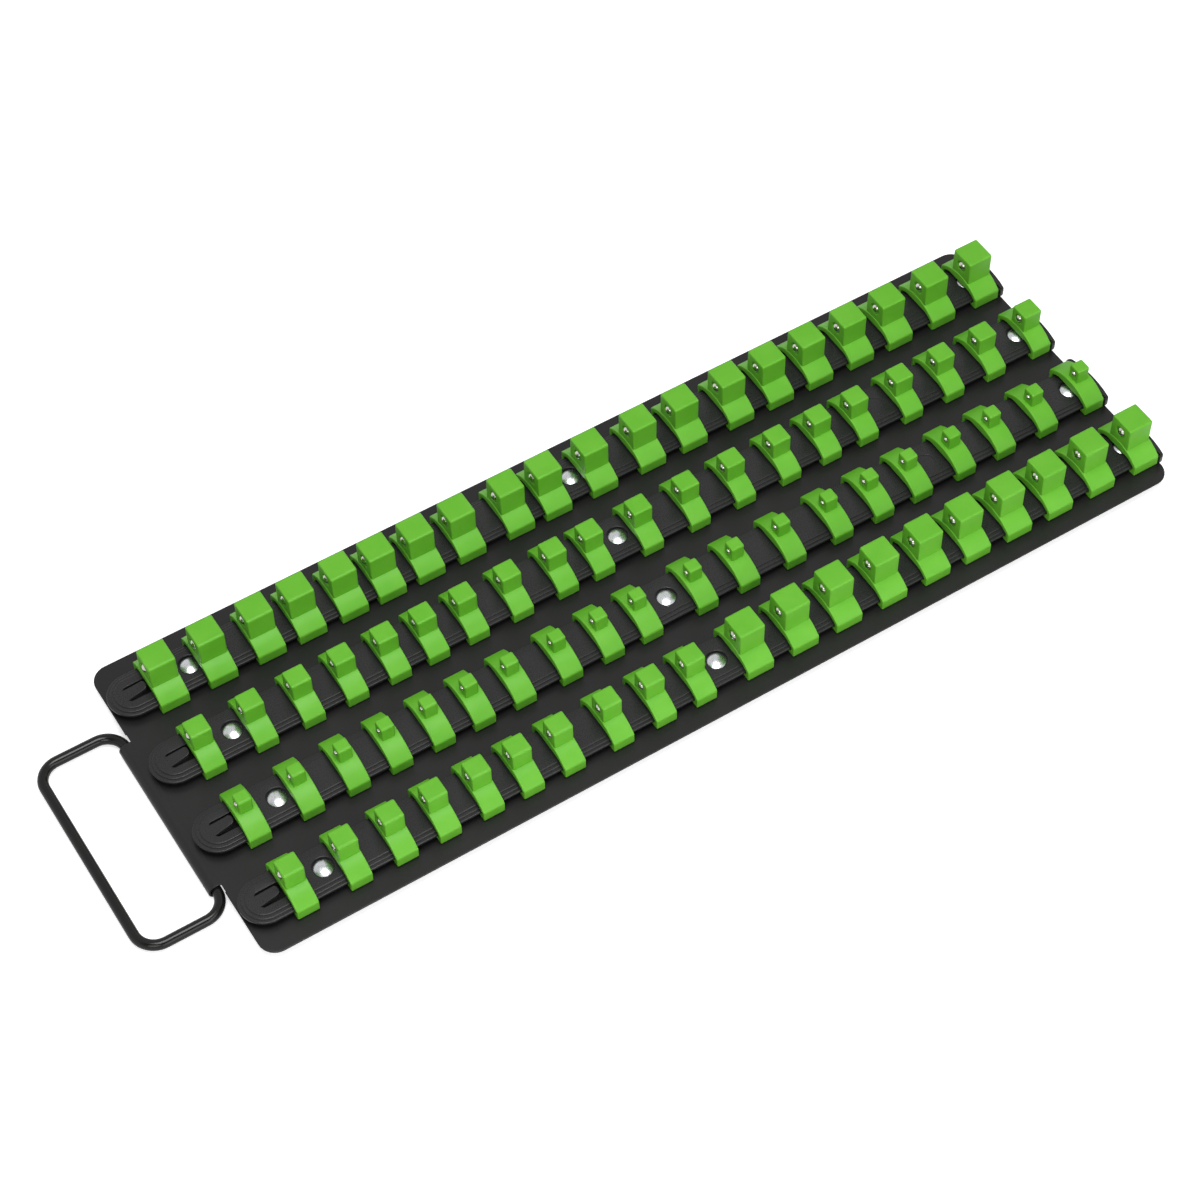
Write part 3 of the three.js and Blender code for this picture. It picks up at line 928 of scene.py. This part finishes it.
    def build(self) -> None:
        """Makes the rail and shows it."""
        skin = Skin()
        rings = [skin.ring((x, y, z) for x, y in self.level(half)) for half, z in self.profile()]
        skin.stack(rings)
        slot_rim, slot_floor, crease = self.cut_slot(skin)
        seats = [self.cut_seat(skin, x, self.recess_depth, self.hole) for x in self.seats]
        seats.append(self.cut_seat(skin, self.spare_seat, self.spare_depth, 0.0))
        skin.flat(rings[-1], 2, [slot_rim, *[rim for rim, _ in seats]], [crease])
        skin.flat(rings[0], 2, [slot_floor, *[hole for _, hole in seats if hole]])
        self.head(skin)
        mesh = skin.mesh(f"rail_{self.number}", (LEFT_EDGE_X, self.y, TOP_FACE_Z))
        node = f"rail_row{self.number}"
        show(mesh, f"moulded_rail_{self.number}", RAIL_PLASTIC, "tray", [node])


@dataclass
class SocketClip:
    """The moulded clip of one drive: an arched bridge with hooked feet and a square post."""

    drive: DriveSize
    form: Mesh = field(init=False)
    ball: Mesh = field(init=False)
    rounding: float = 0.45
    half_length: float = 13.8
    bridge_steps: int = 4
    wall: float = 2.0
    crown: float = 11.3
    arch: float = 20.0
    arch_steps: int = 18
    shoulder: float = 1.2
    shoulder_drop: float = 0.75
    shoulder_round: float = 0.9
    foot_gap: float = 0.3
    foot_round: float = 0.66
    hook_reach: float = 4.0
    hook_tip: float = 1.6
    hook_root: float = 2.6
    hook_round: float = 0.6

    # The room under the bridge: its height, half its flat part, where its sides end, its rounds.
    room_top: float = 6.9
    room_flat: float = 7.8
    room_foot: float = 4.8
    room_round: float = 1.6
    room_foot_round: float = 0.8

    post_root: float = 1.7
    post_round: float = 1.2
    post_steps: int = 5
    post_rounding: float = 0.75
    proud: float = 0.76
    ring_depth: float = 1.0
    ring_edge: float = 0.25
    ring_bevel: float = 0.07
    least_lip: float = 0.1
    play: float = 0.15
    bore_clearance: float = 0.3
    bore_sides: int = 24
    end_wall: float = 1.8
    ball_steps: int = 12
    ball_sides: int = 18

    def __post_init__(self) -> None:
        """Makes the clip's form and its ball's once, for every row."""
        self.form, self.ball = self.mesh(), self.ball_mesh()

    @property
    def ball_height(self) -> float:
        """Height of the ball's middle."""
        return (self.crown + self.drive.height) / 2

    @property
    def ball_depth(self) -> float:
        """How far behind the post's face the ball's middle lies."""
        return self.drive.ball - self.proud

    def bridge_outline(self) -> list[Point2]:
        """The bridge's section in y and z, with its feet's hooks."""
        half, edge = self.half_length, self.half_length - self.shoulder
        inner, tip = half - self.wall, half - self.hook_reach
        ys = [edge * (1 - 2 * i / self.arch_steps) for i in range(self.arch_steps + 1)]
        top = [(y, self.crown - self.arch + math.sqrt(self.arch**2 - y**2), 0.0) for y in ys]
        right = [
            (self.room_flat, self.room_top, self.room_round),
            (inner, self.room_foot, self.room_foot_round),
            (inner, self.hook_root, 0.0),
            (tip, self.hook_tip, self.hook_round),
            (tip, self.foot_gap, self.hook_round),
            (half, self.foot_gap, self.foot_round),
            (half, top[0][1] - self.shoulder_drop, self.shoulder_round),
        ]
        left = [(-y, z, cut) for y, z, cut in reversed(right)]
        return softened([*right, *top, *left], self.bridge_steps)

    def post_outline(self) -> list[Point2]:
        """The post's section in y and z, its top corners rounded."""
        half, top, cut = self.drive.post / 2, self.drive.height, self.post_round
        root = self.crown - self.post_root
        corners = [(half, root, 0.0), (half, top, cut), (-half, top, cut), (-half, root, 0.0)]
        return softened(corners, self.post_steps)

    def bore(self) -> list[Point2]:
        """Radius and depth of each ring of the ball's hole."""
        size = self.drive
        reach = math.sqrt(size.ball**2 - size.mouth**2)
        throat = max(self.ball_depth - reach + self.play, self.ring_depth + self.least_lip)
        mouth, bore = size.mouth + self.play, size.ball + self.bore_clearance
        return [
            (size.ring + self.ring_edge, 0.0), (size.ring + self.ring_bevel, self.ring_bevel),
            (size.ring, self.ring_edge), (size.ring, self.ring_depth), (mouth, self.ring_depth),
            (mouth, throat), (bore, throat), (bore, size.post - self.end_wall),
        ]

    def mesh(self) -> Mesh:
        """The clip about its own middle, in metres, with z = 0 on the sheet."""
        skin = Skin()
        half, face = self.drive.base / 2, self.drive.post / 2
        skin.draw(self.bridge_outline(), (-half, half), self.rounding)
        bore = [
            skin.ring((depth - face, y, z + self.ball_height) for y, z in circle(radius, self.bore_sides))
            for radius, depth in self.bore()
        ]
        skin.stack(bore)
        skin.cap(bore[-1])
        skin.draw(self.post_outline(), (-face, face), self.post_rounding, rims=[bore[0]])
        return skin.mesh(f"clip_{self.drive.label}", (0.0, 0.0, 0.0))

    def ball_mesh(self) -> Mesh:
        """The ball about its own middle, in metres."""
        skin = Skin()
        radius = self.drive.ball
        angles = [math.pi * i / self.ball_steps for i in range(1, self.ball_steps)]
        rings = [(radius * math.sin(a), -radius * math.cos(a)) for a in angles]
        skin.turn([(0, -radius), *rings, (0, radius)], self.ball_sides, axis=0)
        return skin.mesh(f"ball_{self.drive.label}", (0.0, 0.0, 0.0))


@dataclass
class DetentSpring:
    """The compression spring from a ball's back to the end of its bore."""

    clip: SocketClip
    turns: float = 4.0
    turn_steps: int = 20
    wire_sides: int = 8
    seat_gap: float = 0.3

    def tree(self) -> Tree:
        """Builds the tree: a wire along a spiral, with its finish."""
        known = bpy.data.node_groups.get("wound_spring")
        if known:
            return known
        inputs = dict.fromkeys(("Turns", "Coil Radius", "Length", "Wire Radius"), "Float")
        tree, start = node_group("wound_spring", {**inputs, "Finish": "Material"}, "Spring")
        coil = add(
            tree, "GeometryNodeCurveSpiral", Resolution=self.turn_steps, Rotations=start.outputs["Turns"],
            Start_Radius=start.outputs["Coil Radius"], End_Radius=start.outputs["Coil Radius"],
            Height=start.outputs["Length"],
        )
        wire = add(
            tree, "GeometryNodeCurvePrimitiveCircle", Resolution=self.wire_sides,
            Radius=start.outputs["Wire Radius"],
        )
        tube = add(tree, "GeometryNodeCurveToMesh", Curve=coil, Profile_Curve=wire, Fill_Caps=True)
        dress_and_end(tree, tube, start)
        return tree

    def span(self) -> tuple[float, float, float]:
        """Coil radius, and start and end behind the post's face, at the wire's middle."""
        size = self.clip.drive
        coil = size.ball + self.clip.bore_clearance - size.wire - self.seat_gap
        back = math.sqrt(size.ball**2 - coil**2)
        start = self.clip.ball_depth + back + size.wire + self.clip.play
        return coil, start, size.post - self.clip.end_wall - size.wire - self.clip.play

    def mesh(self, place: Vector) -> Mesh:
        """The spring, behind a place in metres on the post's face."""
        coil, start, end = self.span()
        mesh = grown(
            self.tree(),
            bpy.data.meshes.new("empty"),
            Turns=self.turns,
            Coil_Radius=coil * MM,
            Length=(end - start) * MM,
            Wire_Radius=self.clip.drive.wire * MM,
            Finish=SPRING_WIRE.material(),
        )
        mesh.transform(Matrix.Rotation(math.pi / 2, 4, "Y"))
        mesh.transform(Matrix.Translation(place + Vector((start * MM, 0, 0))))
        return mesh


@dataclass
class Rivet:
    """A rivet on its axis: flat set head below, shank, and a domed head in its recess."""

    head: float = 4.2
    height: float = 1.6
    rim: float = 0.5
    rim_edge: float = 0.15
    dome_steps: int = 9
    shank: float = 2.4
    tail: float = 3.6
    tail_height: float = 1.2
    tail_edge: float = 0.3
    seat: float = Rail.top - Rail.recess_depth
    sides: int = 28

    def mesh(self) -> Mesh:
        """The rivet in metres, with z = 0 on the sheet's upper face."""
        low, crown = -SHEET - self.tail_height, self.seat + self.height
        rise = self.height - self.rim
        ball = (self.head**2 + rise**2) / (2 * rise)
        widest = math.asin(self.head / ball)
        angles = [widest * (1 - i / self.dome_steps) for i in range(self.dome_steps)]
        dome = [(ball * math.sin(a), crown - ball * (1 - math.cos(a))) for a in angles]
        profile = [
            (0, low), (self.tail - self.tail_edge, low), (self.tail, low + self.tail_edge),
            (self.tail, -SHEET), (self.shank, -SHEET), (self.shank, self.seat),
            (self.head - self.rim_edge, self.seat), (self.head, self.seat + self.rim_edge),
            *dome, (0, crown),
        ]
        skin = Skin()
        skin.turn(profile, self.sides)
        return skin.mesh("rivet", (0.0, 0.0, 0.0))


@dataclass
class Row:
    """One rail with its rivets and its twenty clips."""

    number: int
    drives: tuple[Drive, Drive]
    shares: tuple[float, ...]
    opened: tuple[int, ...] = ()
    pitch: float = 39.80124
    head_gap: float = 0.3

    @property
    def y(self) -> float:
        """Where the row runs across the sheet."""
        return ((len(ROWS) + 1) / 2 - self.number) * self.pitch

    def drive_of(self, number: int) -> Drive:
        """The drive of a clip, by its number from the left."""
        return self.drives[0] if number <= len(self.shares) / 2 else self.drives[1]

    def places(self) -> list[tuple[int, Drive, float]]:
        """Number, drive and middle of each clip."""
        drives = [self.drive_of(i + 1) for i in range(len(self.shares))]
        start, stop = Rail.tongue_tip, Rail.head_left - self.head_gap
        free = stop - start - sum(d.value.base for d in drives)
        reached, found = start, []
        for i, (drive, share) in enumerate(zip(drives, self.shares)):
            reached += share * free
            found.append((i + 1, drive, reached + drive.value.base / 2))
            reached += drive.value.base
        return found

    def spot(self, x: float, z: float = 0.0) -> Vector:
        """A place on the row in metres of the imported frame."""
        return Vector((x + LEFT_EDGE_X, self.y, z + TOP_FACE_Z)) * MM

    def build(self, clips: dict[Drive, SocketClip], rivet: Mesh) -> None:
        """Makes the row's rail, rivets, clips, balls and springs, and shows them."""
        rail = Rail(self.number, self.y)
        rail.build()
        rivets = repeated(rivet, [self.spot(x) for x in rail.seats], RIVET_PLATE)
        nodes = [f"rivet_row{self.number}_{i + 1}" for i in range(len(rail.seats))]
        show(rivets, f"set_rivets_{self.number}", RIVET_PLATE, "tray", nodes)
        parked: dict[Drive, list[float]] = {}
        for number, drive, x in self.places():
            if number % 2 == 0 and number < len(self.shares):
                self.sliding(clips[drive], number, x)
            else:
                parked.setdefault(drive, []).append(x)
        for drive, xs in parked.items():
            clip = clips[drive]
            label = f"{self.number}_{clip.drive.label}"
            made = repeated(clip.form, [self.spot(x) for x in xs], CLIP_PLASTIC)
            show(made, f"parked_clips_{label}", CLIP_PLASTIC, "tray")
            face = -clip.drive.post / 2 + clip.ball_depth
            balls = [self.spot(x + face, clip.ball_height) for x in xs]
            made = repeated(clip.ball, balls, BALL_CHROME)
            show(made, f"parked_balls_{label}", BALL_CHROME, "tray")

    def sliding(self, clip: SocketClip, number: int, x: float) -> None:
        """Makes one sliding clip with its ball, and its spring where it is opened up."""
        label, size = f"{self.number}_{number:02d}", clip.drive
        body = f"clip_row{label}"
        mesh = copy_at(clip.form, f"clip_{label}", self.spot(x))
        show(mesh, f"socket_clip_{label}", CLIP_PLASTIC, body, [body])
        face = x - size.post / 2
        place = self.spot(face + clip.ball_depth, clip.ball_height)
        ball = copy_at(clip.ball, f"ball_{label}", place)
        if number not in self.opened:
            show(ball, f"detent_ball_{label}", BALL_CHROME, body)
            return
        own = f"ball_{size.label}"
        show(ball, f"detent_ball_{label}", BALL_CHROME, own, [own])
        spring = DetentSpring(clip)
        _, start, end = spring.span()
        made = spring.mesh(self.spot(face, clip.ball_height))
        node = f"spring_{size.label}"
        piece = show(made, f"wound_spring_{label}", SPRING_WIRE, body, [node])
        anchor = self.spot(face + end, clip.ball_height)
        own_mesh(piece)


# Each row's drives in its left and right half, how the free length of the rail is shared out
# before each clip, and which sliding clips hold a ball and spring of their own.
ROWS = (
    Row(1, (Drive.HALF_INCH, Drive.HALF_INCH), (
        0.003, 0.057, 0.058, 0.038, 0.043, 0.032, 0.036, 0.043, 0.068, 0.035,
        0.062, 0.07, 0.052, 0.069, 0.049, 0.049, 0.055, 0.049, 0.064, 0.066)),
    Row(2, (Drive.THREE_EIGHTHS, Drive.THREE_EIGHTHS), (
        0.003, 0.061, 0.052, 0.046, 0.045, 0.037, 0.041, 0.051, 0.054, 0.036,
        0.064, 0.061, 0.059, 0.06, 0.05, 0.043, 0.061, 0.055, 0.056, 0.065)),
    Row(3, (Drive.QUARTER_INCH, Drive.QUARTER_INCH), (
        0.003, 0.062, 0.049, 0.043, 0.044, 0.04, 0.042, 0.055, 0.046, 0.04,
        0.077, 0.049, 0.06, 0.063, 0.05, 0.046, 0.057, 0.051, 0.057, 0.066), (2,)),
    Row(4, (Drive.THREE_EIGHTHS, Drive.HALF_INCH), (
        0.006, 0.071, 0.055, 0.05, 0.051, 0.045, 0.048, 0.067, 0.054, 0.049,
        0.077, 0.048, 0.046, 0.051, 0.048, 0.041, 0.045, 0.045, 0.049, 0.054), (2, 12)),
)


# Studio


@dataclass(frozen=True)
class SoftBox:
    """One large soft lamp."""

    name: str
    place: Point3
    size: float
    power: float
    target: Point3 = (0.0, 0.0, 0.0)

    def build(self) -> None:
        """Adds the lamp, turned to its target."""
        light = bpy.data.lights.new(self.name, "AREA")
        light.shape = "DISK"
        light.size = self.size
        light.energy = self.power
        lamp = bpy.data.objects.new(self.name, light)
        lamp.location = self.place
        way = Vector(self.target) - Vector(self.place)
        lamp.rotation_euler = way.to_track_quat("-Z", "Y").to_euler()
        bpy.context.scene.collection.objects.link(lamp)


@dataclass
class Studio:
    """Pale floor, soft light, white surroundings and the camera."""

    azimuth: float = -30.9383
    elevation: float = 53.8146
    distance: float = 1262.1843
    target: Point3 = (-3.2046, -2.0827, 6.3)
    roll: float = -1.2871
    lens: float = 86.62
    film_width: float = 36.0
    nearest: float = 0.01
    floor_half: float = 6.0
    floor_colour: str = "F2F2F2"
    floor_roughness: float = 0.9
    floor_lift: float = 0.6
    ambient: float = 0.26
    mirrored_sky: Point2 = (0.95, 0.6)
    patch_towards: Point3 = (-0.304, -0.507, 0.807)
    patch_edge: Point2 = (0.7, 0.92)
    patch_level: float = 0.12
    lamps: tuple[SoftBox, ...] = (
        SoftBox("overhead_soft_box", (-0.09, -0.16, 1.6), 0.9, 15.0),
        SoftBox("front_right_soft_box", (0.6, -1.15, 1.0), 0.9, 3.7),
        SoftBox("front_left_soft_box", (-0.95, -1.0, 0.95), 0.9, 5.9),
        SoftBox("low_front_fill", (0.0, -1.5, 0.6), 1.0, 4.5),
    )

    def camera(self) -> None:
        """Places the camera that looks at the tray from the left and above."""
        az, el, roll = (math.radians(v) for v in (self.azimuth, self.elevation, self.roll))
        away = Vector((math.sin(az) * math.cos(el), -math.cos(az) * math.cos(el), math.sin(el)))
        data = bpy.data.cameras.new("studio_camera")
        data.lens = self.lens
        data.sensor_width = self.film_width
        data.clip_start = self.nearest
        camera = bpy.data.objects.new("studio_camera", data)
        place = Matrix.Translation((Vector(self.target) + away * self.distance) * MM)
        facing = (-away).to_track_quat("-Z", "Y").to_matrix().to_4x4()
        camera.matrix_world = place @ facing @ Matrix.Rotation(roll, 4, "Z")
        bpy.context.scene.collection.objects.link(camera)
        bpy.context.scene.camera = camera

    def floor(self) -> None:
        """A wide pale floor that shows white to the camera and keeps the shadow."""
        half = self.floor_half
        corners = [(-half, -half, 0), (half, -half, 0), (half, half, 0), (-half, half, 0)]
        mesh = bpy.data.meshes.new("floor")
        mesh.from_pydata(corners, [], [(0, 1, 2, 3)])
        floor = bpy.data.objects.new("floor", mesh)
        bpy.context.scene.collection.objects.link(floor)
        material = bpy.data.materials.new("paper_backdrop_white")
        material.use_nodes = True
        tree = material.node_tree
        path = add(tree, "ShaderNodeLightPath")
        lift = add(
            tree, "ShaderNodeMapRange", Value=path.outputs["Is Camera Ray"], To_Min=0.0,
            To_Max=self.floor_lift,
        )
        feed(
            tree,
            tree.nodes["Principled BSDF"],
            Base_Color=linear(self.floor_colour),
            Roughness=self.floor_roughness,
            Emission_Color=(1, 1, 1, 1),
            Emission_Strength=lift,
        )
        mesh.materials.append(material)

    def world(self) -> None:
        """White surroundings for the eye, and dim ones as light.

        Mirrored, they are bright at the horizon and darker overhead, with a dim patch on the
        camera's side, as the dark room behind a camera gives.
        """
        world = bpy.data.worlds.new("white_room")
        bpy.context.scene.world = world
        world.use_nodes = True
        tree = world.node_tree
        tree.nodes.clear()
        path = add(tree, "ShaderNodeLightPath")
        way = add(tree, "ShaderNodeTexCoord").outputs["Generated"]
        split = add(tree, "ShaderNodeSeparateXYZ", Vector=way)
        horizon, overhead = self.mirrored_sky
        sky = add(tree, "ShaderNodeMapRange", Value=split.outputs["Z"], To_Min=horizon, To_Max=overhead)
        near = add(
            tree, "ShaderNodeVectorMath", {"operation": "DOT_PRODUCT"}, input_0=way,
            input_1=self.patch_towards,
        )
        outer, inner = self.patch_edge
        patch = add(
            tree, "ShaderNodeMapRange", Value=near.outputs["Value"], From_Min=outer, From_Max=inner,
            To_Min=1.0, To_Max=self.patch_level,
        )
        mirrored = add(tree, "ShaderNodeMath", {"operation": "MULTIPLY"}, input_0=sky, input_1=patch)
        glossy, seen = path.outputs["Is Glossy Ray"], path.outputs["Is Camera Ray"]
        light = add(tree, "ShaderNodeMix", Factor=glossy, A=self.ambient, B=mirrored)
        strength = add(tree, "ShaderNodeMix", Factor=seen, A=light, B=1.0)
        glow = add(tree, "ShaderNodeBackground", Color=(1, 1, 1, 1), Strength=strength)
        add(tree, "ShaderNodeOutputWorld", Surface=glow)

    def build(self) -> None:
        """Sets up the whole studio."""
        bpy.context.scene.view_settings.view_transform = "Standard"
        self.camera()
        self.floor()
        self.world()
        for lamp in self.lamps:
            lamp.build()


def main() -> None:
    """Builds every piece in order."""
    logging.basicConfig(level=logging.INFO, format="%(name)s %(message)s")
    Studio().build()
    clips = {drive: SocketClip(drive.value) for drive in Drive}
    rivet = Rivet().mesh()
    TraySheet().build()
    CarryHandle().build()
    for row in ROWS:
        row.build(clips, rivet)


if __name__ == "__main__":
    main()
